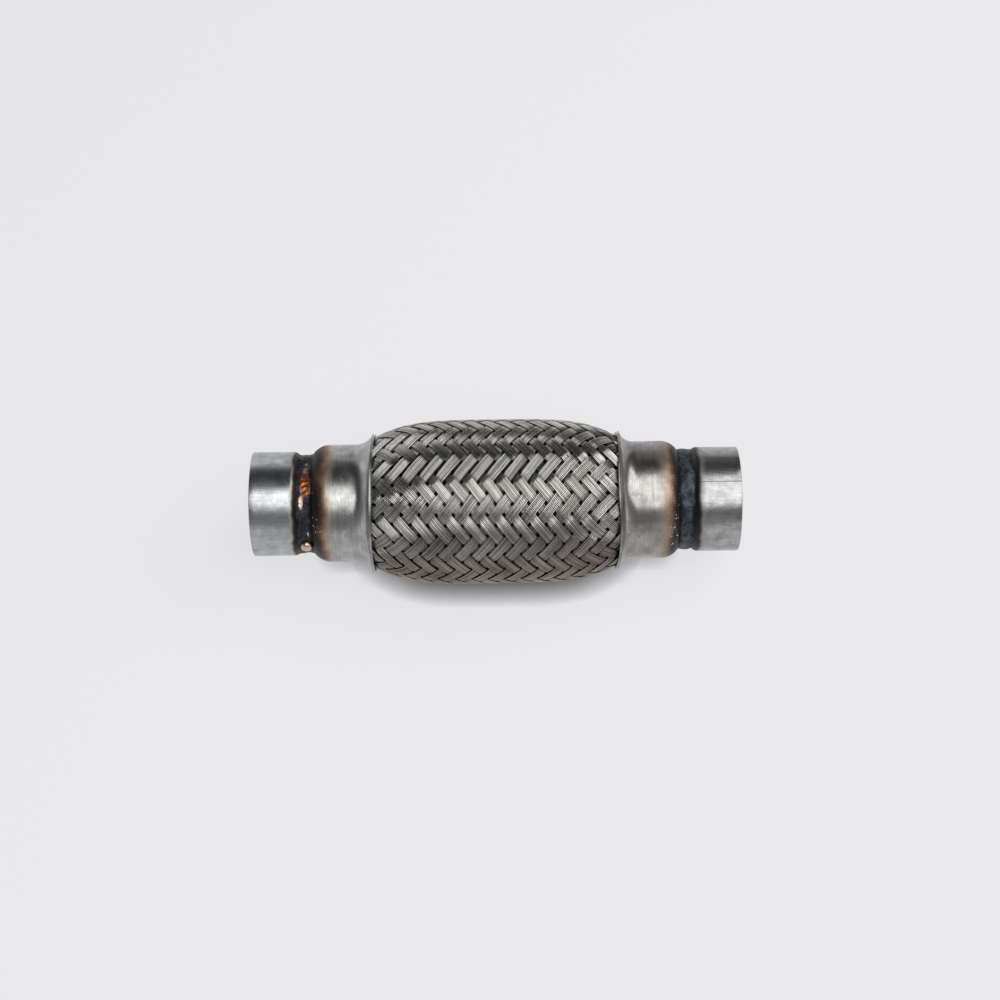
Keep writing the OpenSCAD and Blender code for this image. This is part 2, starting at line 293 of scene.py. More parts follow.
@dataclass(frozen=True)
class HeatedSteel:
    """Satin carbon-steel sheet or tube that a weld has heated.

    It gives a soft broad gloss with cloudy patches and fine lines from the drawing or pressing, and near the
    weld the straw, brown and black bands of heat scale, which are duller than the bare metal.
    """

    name: str
    base: str
    cloud: str
    cloud_mm: float
    line_mm: float
    lines_along_axis: bool
    roughness: tuple[float, float]
    weld_x_mm: float
    tint_from_mm: float
    tint_to_mm: float
    tint: Stops
    tint_drift: float
    seam_deg: float | None = None
    mark_mm: float = 1.1
    flow_mm: float = 9.0
    nick_colour: str = "#E6E6E3"
    pit_colour: str = "#3A3A3A"
    seam_colour: str = "#4A4B4C"

    def make(self) -> bpy.types.Material:
        """Builds the material.

        Returns:
            The finished material.
        """
        material, tree = new_material(self.name)
        place = add_node(tree, "ShaderNodeTexCoord").outputs["Object"]
        clouds = add_node(tree, "ShaderNodeTexNoise", {"Scale": 1 / (self.cloud_mm * MM), "Detail": 5.0,
                          "Roughness": 0.62}, {"Vector": place}).outputs["Fac"]
        stretch = (0.03, 1.0, 1.0) if self.lines_along_axis else (1.0, 0.04, 0.04)
        stretched = add_node(tree, "ShaderNodeMapping", {"Scale": stretch}, {"Vector": place}).outputs[0]
        lines = add_node(tree, "ShaderNodeTexNoise", {"Scale": 1 / (self.line_mm * MM), "Detail": 3.0,
                         "Roughness": 0.7}, {"Vector": stretched}).outputs["Fac"]
        patch = add_node(tree, "ShaderNodeMapRange", {"limits": (0.36, 0.66)}, {0: clouds}).outputs[0]
        streak = add_node(tree, "ShaderNodeMapRange", {"limits": (0.3, 0.7, 0.72, 1.1)},
                          {0: lines}).outputs[0]
        bare = add_node(tree, "ShaderNodeMix", {"data_type": "RGBA", MIX_A: to_linear(self.base),
                        MIX_B: to_linear(self.cloud)}, {0: patch}).outputs[MIXED]
        lined = add_node(tree, "ShaderNodeMix", {"data_type": "RGBA", "blend_type": "MULTIPLY", 0: 0.85},
                         {MIX_A: bare, MIX_B: streak}).outputs[MIXED]
        marks = add_node(tree, "ShaderNodeTexNoise", {"Scale": 1 / (self.mark_mm * MM), "Detail": 1.0,
                         "Distortion": 1.2}, {"Vector": place}).outputs["Fac"]
        nick = add_node(tree, "ShaderNodeMapRange", {"limits": (0.7, 0.76, 0.0, 0.4)}, {0: marks}).outputs[0]
        pit = add_node(tree, "ShaderNodeMapRange", {"limits": (0.27, 0.22, 0.0, 0.7)}, {0: marks}).outputs[0]
        nicked = add_node(tree, "ShaderNodeMix", {"data_type": "RGBA", MIX_B: to_linear(self.nick_colour)},
                          {0: nick, MIX_A: lined}).outputs[MIXED]
        pitted = add_node(tree, "ShaderNodeMix", {"data_type": "RGBA", MIX_B: to_linear(self.pit_colour)},
                          {0: pit, MIX_A: nicked}).outputs[MIXED]
        if self.seam_deg is not None:
            a = math.radians(self.seam_deg)
            aside = add_node(tree, "ShaderNodeVectorMath", {"operation": "DOT_PRODUCT",
                             1: (0.0, math.sin(a), math.cos(a))}, {0: place}).outputs["Value"]
            off = add_node(tree, "ShaderNodeMath", {"operation": "ABSOLUTE"}, {0: aside}).outputs[0]
            line_fade = add_node(tree, "ShaderNodeMapRange", {"limits": (0.1 * MM, 0.3 * MM, 0.75, 0.0)},
                                 {0: off}).outputs[0]
            ahead = add_node(tree, "ShaderNodeVectorMath", {"operation": "DOT_PRODUCT",
                             1: (0.0, -math.cos(a), math.sin(a))}, {0: place}).outputs["Value"]
            this_side = add_node(tree, "ShaderNodeMath", {"operation": "GREATER_THAN", 1: 0.0},
                                 {0: ahead}).outputs[0]
            seam = add_node(tree, "ShaderNodeMath", {"operation": "MULTIPLY"},
                            {0: line_fade, 1: this_side}).outputs[0]
            pitted = add_node(tree, "ShaderNodeMix",
                              {"data_type": "RGBA", MIX_B: to_linear(self.seam_colour)},
                              {0: seam, MIX_A: pitted}).outputs[MIXED]
        x = add_node(tree, "ShaderNodeSeparateXYZ", None, {0: place}).outputs[0]
        out = add_node(tree, "ShaderNodeMath", {"operation": "ABSOLUTE"}, {0: x}).outputs[0]
        tint_span = ((self.weld_x_mm + self.tint_from_mm) * MM, (self.weld_x_mm + self.tint_to_mm) * MM)
        span = add_node(tree, "ShaderNodeMapRange", {"clamp": False, "limits": tint_span},
                        {0: out}).outputs[0]
        flow = add_node(tree, "ShaderNodeTexNoise", {"Scale": 1 / (self.flow_mm * MM), "Detail": 4.0},
                        {"Vector": place}).outputs["Fac"]
        drift = add_node(tree, "ShaderNodeMapRange",
                         {"clamp": False, "limits": (0.2, 0.8, -self.tint_drift, self.tint_drift)},
                         {0: flow}).outputs[0]
        heat_place = add_node(tree, "ShaderNodeMath", {"operation": "ADD"}, {0: span, 1: drift}).outputs[0]
        heat = add_node(tree, "ShaderNodeValToRGB", {"stops": self.tint}, {0: heat_place})
        tinted = {0: heat.outputs["Alpha"], MIX_A: pitted, MIX_B: heat.outputs["Color"]}
        colour = add_node(tree, "ShaderNodeMix", {"data_type": "RGBA"}, tinted).outputs[MIXED]
        bare_rough = add_node(tree, "ShaderNodeMapRange", {"limits": (0.35, 0.68, *self.roughness)},
                              {0: clouds}).outputs[0]
        rough = add_node(tree, "ShaderNodeMath", {"operation": "MULTIPLY_ADD", 1: 0.2},
                         {0: heat.outputs["Alpha"], 2: bare_rough}).outputs[0]
        metal = add_node(tree, "ShaderNodeMapRange", {"limits": (0.0, 1.0, 1.0, 0.55)},
                         {0: heat.outputs["Alpha"]}).outputs[0]
        waves = add_node(tree, "ShaderNodeBump", {"Strength": 0.14, "Distance": 0.12 * MM},
                         {"Height": clouds})
        bump = add_node(tree, "ShaderNodeBump", {"Strength": 0.25, "Distance": 0.05 * MM},
                        {"Height": lines, "Normal": waves.outputs[0]})
        shader = add_node(tree, "ShaderNodeBsdfPrincipled", None,
                          {"Base Color": colour, "Roughness": rough, "Metallic": metal,
                           "Normal": bump.outputs[0]})
        add_node(tree, "ShaderNodeOutputMaterial", None, {"Surface": shader.outputs[0]})
        return material


@dataclass(frozen=True)
class WeldScale:
    """Weld metal under burnt oxide: blue-grey crust with matt black hollows, and bare patches that shine.

    The point attribute bare says where the crust is off, and blush how far the metal there goes from burnt
    copper to a pale rose. The attribute soot blackens the crust along the bead's edges.
    """

    name: str
    crust: str
    hollow: str
    copper: str
    blush: str
    grit_mm: float
    patch_mm: float
    soot_colour: str = "#0C0A0A"

    def make(self) -> bpy.types.Material:
        """Builds the material.

        Returns:
            The finished material.
        """
        material, tree = new_material(self.name)
        place = add_node(tree, "ShaderNodeTexCoord").outputs["Object"]
        grit = add_node(tree, "ShaderNodeTexNoise", {"Scale": 1 / (self.grit_mm * MM), "Detail": 4.0,
                        "Roughness": 0.65}, {"Vector": place}).outputs["Fac"]
        patch = add_node(tree, "ShaderNodeTexNoise", {"Scale": 1 / (self.patch_mm * MM), "Detail": 3.0},
                         {"Vector": place}).outputs["Fac"]
        both = add_node(tree, "ShaderNodeMath", {"operation": "ADD"}, {0: grit, 1: patch}).outputs[0]
        sharp = add_node(tree, "ShaderNodeMapRange", {"limits": (0.78, 1.26)}, {0: both}).outputs[0]
        scale = add_node(tree, "ShaderNodeMix", {"data_type": "RGBA", MIX_A: to_linear(self.hollow),
                         MIX_B: to_linear(self.crust)}, {0: sharp}).outputs[MIXED]
        soot = add_node(tree, "ShaderNodeAttribute", {"attribute_name": "soot"}).outputs["Fac"]
        crust = add_node(tree, "ShaderNodeMix", {"data_type": "RGBA", MIX_B: to_linear(self.soot_colour)},
                         {0: soot, MIX_A: scale}).outputs[MIXED]
        bare = add_node(tree, "ShaderNodeAttribute", {"attribute_name": "bare"}).outputs["Fac"]
        blush = add_node(tree, "ShaderNodeAttribute", {"attribute_name": "blush"}).outputs["Fac"]
        broken = add_node(tree, "ShaderNodeMath", {"operation": "MULTIPLY_ADD", 1: 0.55},
                          {0: both, 2: bare}).outputs[0]
        shown = add_node(tree, "ShaderNodeMapRange", {"limits": (0.8, 1.15)}, {0: broken}).outputs[0]
        burnt = add_node(tree, "ShaderNodeMapRange", {"limits": (0.75, 1.2, 0.3, 1.0)}, {0: both}).outputs[0]
        brown = add_node(tree, "ShaderNodeMix", {"data_type": "RGBA", "blend_type": "MULTIPLY", 0: 1.0,
                         MIX_A: to_linear(self.copper)}, {MIX_B: burnt}).outputs[MIXED]
        warm = add_node(tree, "ShaderNodeMix", {"data_type": "RGBA", MIX_B: to_linear(self.blush)},
                        {0: blush, MIX_A: brown}).outputs[MIXED]
        colour = add_node(tree, "ShaderNodeMix", {"data_type": "RGBA"},
                          {0: shown, MIX_A: crust, MIX_B: warm}).outputs[MIXED]
        metal = add_node(tree, "ShaderNodeMapRange", {"limits": (0.0, 1.0, 0.6, 1.0)}, {0: shown}).outputs[0]
        rough = add_node(tree, "ShaderNodeMapRange", {"limits": (0.0, 1.0, 0.46, 0.28)},
                         {0: shown}).outputs[0]
        bump = add_node(tree, "ShaderNodeBump", {"Strength": 0.6, "Distance": 0.3 * MM}, {"Height": both})
        shader = add_node(tree, "ShaderNodeBsdfPrincipled", None,
                          {"Base Color": colour, "Roughness": rough, "Metallic": metal,
                           "Normal": bump.outputs[0]})
        add_node(tree, "ShaderNodeOutputMaterial", None, {"Surface": shader.outputs[0]})
        return material


@dataclass(frozen=True)
class DrawnWire:
    """Bright-drawn stainless wire: glossy round wires of slightly different greys, with real stains, browner
    underneath by a painted reflection.

    The point attribute tone holds a random grey for each wire and painted shade. It is dark between the wires
    and light along their crests, so that each wire shows as a line, and darker where a strand dives under.
    """

    name: str
    dark: str
    light: str
    stain_and_reflection_colour: str
    stain_mm: float
    reflection_top_mm: float = 20.0
    roughness: tuple[float, float] = (0.14, 0.24)

    def make(self) -> bpy.types.Material:
        """Builds the material.

        Returns:
            The finished material.
        """
        material, tree = new_material(self.name)
        place = add_node(tree, "ShaderNodeTexCoord").outputs["Object"]
        tone = add_node(tree, "ShaderNodeAttribute", {"attribute_name": "tone"}).outputs["Fac"]
        grey = add_node(tree, "ShaderNodeMix", {"data_type": "RGBA", MIX_A: to_linear(self.dark),
                        MIX_B: to_linear(self.light)}, {0: tone}).outputs[MIXED]
        stains = add_node(tree, "ShaderNodeTexNoise", {"Scale": 1 / (self.stain_mm * MM), "Detail": 3.0},
                          {"Vector": place}).outputs["Fac"]
        # Painted reflection: the wire turns browner towards the bottom, fully below the axis and fading out
        # 20 mm above it, as a warm floor would reflect; the noise spots are real stains
        height = add_node(tree, "ShaderNodeSeparateXYZ", None, {0: place}).outputs[2]
        low = add_node(tree, "ShaderNodeMapRange", {"limits": (self.reflection_top_mm * MM, 0.0, 0.0, 0.7)},
                       {0: height}).outputs[0]
        spots = add_node(tree, "ShaderNodeMapRange", {"limits": (0.45, 0.75, 0.0, 0.4)},
                         {0: stains}).outputs[0]
        stain_and_reflection_share = add_node(tree, "ShaderNodeMath", {"operation": "ADD"}, {0: low, 1: spots}).outputs[0]
        colour = add_node(tree, "ShaderNodeMix", {"data_type": "RGBA", "blend_type": "MULTIPLY",
                          MIX_B: to_linear(self.stain_and_reflection_colour)}, {0: stain_and_reflection_share, MIX_A: grey}).outputs[MIXED]
        rough = add_node(tree, "ShaderNodeMapRange", {"limits": (0.3, 0.7, *self.roughness)},
                         {0: stains}).outputs[0]
        shader = add_node(tree, "ShaderNodeBsdfPrincipled", {"Metallic": 1.0},
                          {"Base Color": colour, "Roughness": rough})
        add_node(tree, "ShaderNodeOutputMaterial", None, {"Surface": shader.outputs[0]})
        return material


@dataclass(frozen=True)
class InnerSheet:
    """Thin stainless sheet deep inside: satin, with an uneven grey film from forming oil."""

    name: str
    clean: str
    film: str
    film_mm: float
    roughness: tuple[float, float]

    def make(self) -> bpy.types.Material:
        """Builds the material.

        Returns:
            The finished material.
        """
        material, tree = new_material(self.name)
        place = add_node(tree, "ShaderNodeTexCoord").outputs["Object"]
        film = add_node(tree, "ShaderNodeTexNoise", {"Scale": 1 / (self.film_mm * MM), "Detail": 5.0},
                        {"Vector": place}).outputs["Fac"]
        colour = add_node(tree, "ShaderNodeMix", {"data_type": "RGBA", MIX_A: to_linear(self.clean),
                          MIX_B: to_linear(self.film)}, {0: film}).outputs[MIXED]
        rough = add_node(tree, "ShaderNodeMapRange", {"limits": (0.3, 0.7, *self.roughness)},
                         {0: film}).outputs[0]
        bump = add_node(tree, "ShaderNodeBump", {"Strength": 0.15, "Distance": 0.05 * MM}, {"Height": film})
        shader = add_node(tree, "ShaderNodeBsdfPrincipled", {"Metallic": 1.0},
                          {"Base Color": colour, "Roughness": rough, "Normal": bump.outputs[0]})
        add_node(tree, "ShaderNodeOutputMaterial", None, {"Surface": shader.outputs[0]})
        return material


@dataclass(frozen=True)
class PipeSizes:
    """Sizes of the pressed and drawn pieces in mm, as the solids have them, as distances from the middle."""

    weld_x: float = 75.0
    neck_x: float = 75.0
    neck_len: float = 4.0
    spigot_x: float = 60.0
    pipe_wall: float = 1.5
    edge_break: float = 0.3
    neck_drop: float = 2.0
    cap_wall: float = 1.0
    flare_rise: float = 4.25
    flare_len: float = 6.2
    roll_len: float = 6.2
    cap_rim: float = 1.4
    weld_undercut: float = 0.3
    braid_gap: float = 0.1
    barrel_rise: float = 7.3
    barrel_power: float = 4.0
    strands: int = 24
    braid_pitch: float = 6.4

    @property
    def pipe_r(self) -> float:
        """Outside radius of the stub pipes, read from the frame."""
        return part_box("outlet_pipe")[1].z / MM

    @property
    def end_x(self) -> float:
        """Place of the pipe's cut end, read from the frame."""
        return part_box("outlet_pipe")[1].x / MM

    @property
    def cap_end_x(self) -> float:
        """Place of the cap's rolled-in edge, read from the frame."""
        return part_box("outlet_cap")[1].x / MM

    @property
    def lip_r(self) -> float:
        """Outside radius of the cap's lip, read from the frame."""
        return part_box("outlet_cap")[1].z / MM

    @property
    def neck_r(self) -> float:
        """Outside radius of the pipe's neck."""
        return self.pipe_r - self.neck_drop

    @property
    def cap_r(self) -> float:
        """Outside radius of the cap's cylinder."""
        return self.lip_r - self.flare_rise

    @property
    def roll_x(self) -> float:
        """Place where the cap starts to roll in."""
        return self.cap_end_x - self.roll_len

    @property
    def rim_r(self) -> float:
        """Outside radius of the cap's rolled-in edge."""
        return self.neck_r + self.cap_rim

    @property
    def flare_angle(self) -> float:
        """Angle in radians that the flare turns through."""
        return 2 * math.atan(self.flare_rise / self.flare_len)

    @property
    def flare_rad(self) -> float:
        """Radius of the flare's arc on its outer side."""
        return self.flare_len / math.sin(self.flare_angle)

    @property
    def flare_x(self) -> float:
        """Place where the flare leaves the cap's cylinder, from the lip's inner edge in the frame."""
        lip_edge_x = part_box("outlet_cap")[0].x / MM
        return lip_edge_x + (self.flare_rad + self.cap_wall) * math.sin(self.flare_angle)

    @property
    def lip_x(self) -> float:
        """Place of the lip's outer edge."""
        return self.flare_x - self.flare_len


def arc(centre: tuple[float, float], radius: float, start: float, stop: float, steps: int) -> np.ndarray:
    """Arc of a profile: angle 0 points away from the axis and a quarter turn points along +X.

    Args:
        centre: Place along the axis and distance from it.
        radius: Radius of the arc.
        start: First angle in radians.
        stop: Last angle in radians.
        steps: How many points there are.

    Returns:
        Points as place along the axis and distance from it.
    """
    a = np.linspace(start, stop, steps)
    return np.stack([centre[0] + radius * np.sin(a), centre[1] + radius * np.cos(a)], axis=-1)


def line(start: tuple[float, float], stop: tuple[float, float], steps: int) -> np.ndarray:
    """Straight stretch of a profile without its two ends, in equal steps."""
    t = np.linspace(0, 1, steps + 2)[1:-1, None]
    return np.array(start) * (1 - t) + np.array(stop) * t


@dataclass
class StubPipe:
    """Drawn tube with a square-cut end, necked in where it enters the cap."""

    sizes: PipeSizes
    end: End
    columns: int = 240
    neck_steps: int = 25
    edge_steps: int = 5
    straight_steps: int = 8
    bore_steps: int = 6
    bow_mm: float = 0.05
    seed: int = 11

    def profile(self) -> np.ndarray:
        """Closed outline of the wall.

        The neck eases by half a cosine from the neck's radius to the pipe's.

        Returns:
            Points as place along the axis and distance from it.
        """
        s = self.sizes
        t = np.linspace(0, 1, self.neck_steps)
        neck = np.stack([s.neck_x + s.neck_len * t,
                         s.neck_r + s.neck_drop * (1 - np.cos(math.pi * t)) / 2], axis=-1)
        inner = neck[::-1] - (0, s.pipe_wall)
        soft = s.edge_break
        outer_edge = arc((s.end_x - soft, s.pipe_r - soft), soft, 0, math.pi / 2, self.edge_steps)
        inner_edge = arc((s.end_x - soft, s.pipe_r - s.pipe_wall + soft), soft, math.pi / 2, math.pi,
                         self.edge_steps)
        straight = line(tuple(neck[-1]), tuple(outer_edge[0]), self.straight_steps)
        bore = line(tuple(inner_edge[-1]), tuple(inner[0]), self.bore_steps)
        tip = np.array([[s.spigot_x, s.neck_r - s.pipe_wall], [s.spigot_x, s.neck_r]])
        return np.concatenate([neck, straight, outer_edge, inner_edge, bore, inner, tip])

    def build(self, material: bpy.types.Material) -> bpy.types.Object:
        """Turns the profile about the axis, with a bow of a few hundredths of a mm as drawn tube has.

        Args:
            material: Finish of the tube.

        Returns:
            The piece.
        """
        rng = np.random.default_rng(self.seed + (self.end is End.OUTLET))
        outline = self.profile()
        angle = np.linspace(0, 2 * math.pi, self.columns, endpoint=False)[None, :]
        x, r = outline[:, :1], outline[:, 1:]
        bow = self.bow_mm * wave_noise(rng, angle, x, waves=8, lowest=2, highest=7, reach=0.12)
        points = around_axis(self.end.value * x, r + bow, angle)
        quads = turned_quads(points, self.end)
        piece = make_piece(f"{self.end.label}_pipe_tube", points, quads, material)
        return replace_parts(piece, f"{self.end.label}_pipe")


@dataclass
class PressedCap:
    """Pressed sheet collar: flared lip, cylinder and rolled-in end."""

    sizes: PipeSizes
    end: End
    columns: int = 288
    arc_steps: int = 18
    cylinder_steps: int = 14
    bore_steps: int = 4
    edge_steps: int = 9
    dent_mm: float = 0.05
    sway_mm: float = 0.28
    seed: int = 21

    def profile(self) -> np.ndarray:
        """Closed outline of the sheet: two arcs tangent to a cylinder on each side, and a round lip edge.

        Returns:
            Points as place along the axis and distance from it.
        """
        s = self.sizes
        flare = (s.flare_x, s.cap_r + s.flare_rad)
        roll_angle = 2 * math.atan((s.cap_r - s.rim_r) / s.roll_len)
        roll_rad = s.roll_len / math.sin(roll_angle)
        roll = (s.roll_x, s.cap_r - roll_rad)
        inner_rad = roll_rad - s.cap_wall
        inner_angle = math.acos((s.neck_r - roll[1]) / inner_rad)
        lip_mid = s.flare_rad + s.cap_wall / 2
        lip = (flare[0] - lip_mid * math.sin(s.flare_angle), flare[1] - lip_mid * math.cos(s.flare_angle))
        turn = math.pi + s.flare_angle
        outer_flare = arc(flare, s.flare_rad, turn, math.pi, self.arc_steps)
        outer_roll = arc(roll, roll_rad, 0, roll_angle, self.arc_steps)
        inner_roll = arc(roll, inner_rad, inner_angle, 0, self.arc_steps)
        inner_flare = arc(flare, s.flare_rad + s.cap_wall, math.pi, turn, self.arc_steps)
        edge = arc(lip, s.cap_wall / 2, turn, turn - math.pi, self.edge_steps)[1:-1]
        cylinder = line(tuple(outer_flare[-1]), tuple(outer_roll[0]), self.cylinder_steps)
        bore = line(tuple(inner_roll[-1]), tuple(inner_flare[0]), self.bore_steps)
        rim = np.array([[s.cap_end_x, s.neck_r]])
        return np.concatenate([outer_flare, cylinder, outer_roll, rim, inner_roll, bore, inner_flare, edge])

    def outer_r(self, x: np.ndarray) -> np.ndarray:
        """Outside radius of the cap at places along the axis, read off its profile."""
        s = self.sizes
        outer = self.profile()[:2 * self.arc_steps + self.cylinder_steps]
        return np.interp(np.abs(x), outer[:, 0], outer[:, 1], left=s.lip_r, right=s.rim_r)

    def build(self, material: bpy.types.Material) -> bpy.types.Object:
        """Turns the profile about the axis with slight dents, and a lip that isn't quite true.

        The dents are smooth noise of a few hundredths of a mm, and the lip wanders along the axis by smooth
        noise of about a quarter of a mm, which fades out towards the cylinder.

        Args:
            material: Finish of the sheet.

        Returns:
            The piece.
        """
        s = self.sizes
        rng = np.random.default_rng(self.seed + (self.end is End.OUTLET))
        outline = self.profile()
        angle = np.linspace(0, 2 * math.pi, self.columns, endpoint=False)[None, :]
        x, r = outline[:, :1], outline[:, 1:]
        dents = self.dent_mm * wave_noise(rng, angle, x, waves=12, lowest=2, highest=9, reach=0.25)
        free = smooth_step(s.cap_r, s.lip_r, r) * (x < s.flare_x)
        sway = self.sway_mm * wave_noise(rng, angle, 0 * angle, waves=6, lowest=1, highest=5)
        points = around_axis(self.end.value * (x + free * sway), r + dents, angle)
        quads = turned_quads(points, self.end)
        piece = make_piece(f"{self.end.label}_cap_sheet", points, quads, material)
        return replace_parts(piece, f"{self.end.label}_cap")


@dataclass(frozen=True)
class BareSpot:
    """Place on a weld where the crust is off.

    It has an angle in degrees and a place in mm, each with its spread, a weight and a hue.
    """

    angle: float
    spread: float
    x: float
    spread_x: float
    weight: float
    blush: float


@dataclass
class WeldRun:
    """Weld bead laid round the neck between the cap and the pipe."""

    sizes: PipeSizes
    end: End
    crown: float
    ripples: int
    ripple_mm: float
    lump_mm: float
    spots: tuple[BareSpot, ...] = ()
    columns: int = 540
    rows: int = 40
    toe_wander_mm: float = 0.28
    grain_share: float = 0.3
    ripple_bend: float = 0.09
    ripple_wander: float = 0.08
    soot_ragged: float = 0.12
    soot_span: tuple[float, float] = (0.5, 0.95)
    foot_places: tuple[float, ...] = (0.96, 0.5, 0.04)
    seed: int = 31

    def bare_metal(self, degrees: np.ndarray, x: np.ndarray) -> tuple[np.ndarray, np.ndarray]:
        """Adds up the bare spots, each a bell in angle and in place, and averages their hues by weight.

        Args:
            degrees: Angles round the axis.
            x: Places along the axis in mm.

        Returns:
            How bare the metal is and how far it is blushed, both from 0 to 1.
        """
        bare = np.zeros(np.broadcast_shapes(degrees.shape, x.shape))
        hue = np.zeros_like(bare)
        for spot in self.spots:
            turn = (degrees - spot.angle + 180) % 360 - 180
            bell = spot.weight * np.exp(-(turn / spot.spread) ** 2 - ((x - spot.x) / spot.spread_x) ** 2)
            bare += bell
            hue += bell * spot.blush
        return np.clip(bare, 0, 1), hue / np.maximum(bare, 1e-6)

    def build(self, material: bpy.types.Material) -> bpy.types.Object:
        """Lays the bead as a ring whose height over the neck is a crown plus ripples and lumps.

        The ripples are arcs across the bead, cosines of the angle bent by the distance from its middle.
        The toe wanders along the pipe's neck, and soot lies along both edges.

        Args:
            material: Finish of the weld metal.

        Returns:
            The piece.
        """
        s = self.sizes
        rng = np.random.default_rng(self.seed + (self.end is End.OUTLET))
        angle = np.linspace(0, 2 * math.pi, self.columns, endpoint=False)[None, :]
        t = np.linspace(0, 1, self.rows)[:, None]
        toe = self.toe_wander_mm * wave_noise(rng, angle, 0 * angle, waves=10, lowest=2, highest=12)
        toe_x = s.neck_x + s.neck_len / 2 + toe
        toe_r = s.neck_r + s.neck_drop * (1 - np.cos(math.pi * (toe_x - s.neck_x) / s.neck_len)) / 2
        root_r = s.rim_r - s.weld_undercut
        x = s.cap_end_x + (toe_x - s.cap_end_x) * t
        lumps = self.lump_mm * wave_noise(rng, angle, x, waves=14, lowest=2, highest=14, reach=1.2)
        grain_mm = self.grain_share * self.lump_mm
        grains = grain_mm * wave_noise(rng, angle, x, waves=24, lowest=20, highest=70, reach=3.0)
        bend = self.ripple_bend * (2 * t - 1) ** 2
        wander = self.ripple_wander * wave_noise(rng, angle, 0 * angle, waves=6, lowest=2, highest=9)
        ripple = self.ripple_mm * np.cos(self.ripples * (angle + wander + bend))
        inside = np.sin(math.pi * t)
        top = root_r + (toe_r - root_r) * t + self.crown * inside
        top = top + (lumps + grains + ripple) * np.sqrt(inside)
        foot_x = s.cap_end_x + (toe_x - s.cap_end_x) * np.array(self.foot_places)[:, None]
        foot = around_axis(self.end.value * foot_x, np.full_like(foot_x, s.neck_r), angle)
        points = np.concatenate([around_axis(self.end.value * x, top, angle), foot])
        bare, blush = self.bare_metal(np.degrees(angle), np.concatenate([x, foot_x]))
        ragged = self.soot_ragged * wave_noise(rng, angle, x, waves=16, lowest=3, highest=30, reach=0.8)
        edge = np.abs(2 * t - 1) + ragged
        soot = np.concatenate([smooth_step(*self.soot_span, edge), np.ones_like(foot_x)])
        quads = turned_quads(points, self.end)
        piece = make_piece(f"{self.end.label}_weld_bead", points, quads, material,
                           {"bare": bare, "blush": blush, "soot": soot})
        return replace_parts(piece, f"{self.end.label}_weld")


@dataclass
class Spatter:
    """Droplets of weld metal frozen on the cap and the weld."""

    cap: PressedCap
    places: np.ndarray
    rings: int = 6
    columns: int = 10
    pole_gap: float = 0.05
    squash: float = 0.75
    stand: float = 0.2
    blush: float = 0.85

    def build(self, name: str, material: bpy.types.Material) -> bpy.types.Object:
        """Makes each droplet a flattened ball sunk by a third, on the cap's own radius.

        Args:
            name: Name of the piece.
            material: Finish of the droplets.

        Returns:
            The piece that holds all of them.
        """
        angle, x, size, lift = self.places.T
        tilt = np.linspace(self.pole_gap, math.pi - self.pole_gap, self.rings)[None, :, None]
        turn = np.linspace(0, 2 * math.pi, self.columns, endpoint=False)[None, None, :]
        size = size[:, None, None]
        ground = self.cap.outer_r(x)[:, None, None] + lift[:, None, None]
        up = ground + size * (self.squash * np.cos(tilt) + self.stand)
        side = size * np.sin(tilt) * np.cos(turn)
        along = x[:, None, None] + size * np.sin(tilt) * np.sin(turn)
        sign = self.cap.end.value
        points = around_axis(sign * along, up, np.radians(angle)[:, None, None] + side / ground)
        quads = tube_quads(self.rings, self.columns, len(self.places))
        quads = quads[:, ::-1] if self.cap.end is End.OUTLET else quads
        bare = np.ones(points.shape[:-1])
        return make_piece(name, points, quads, material,
                          {"bare": bare, "blush": self.blush * bare})


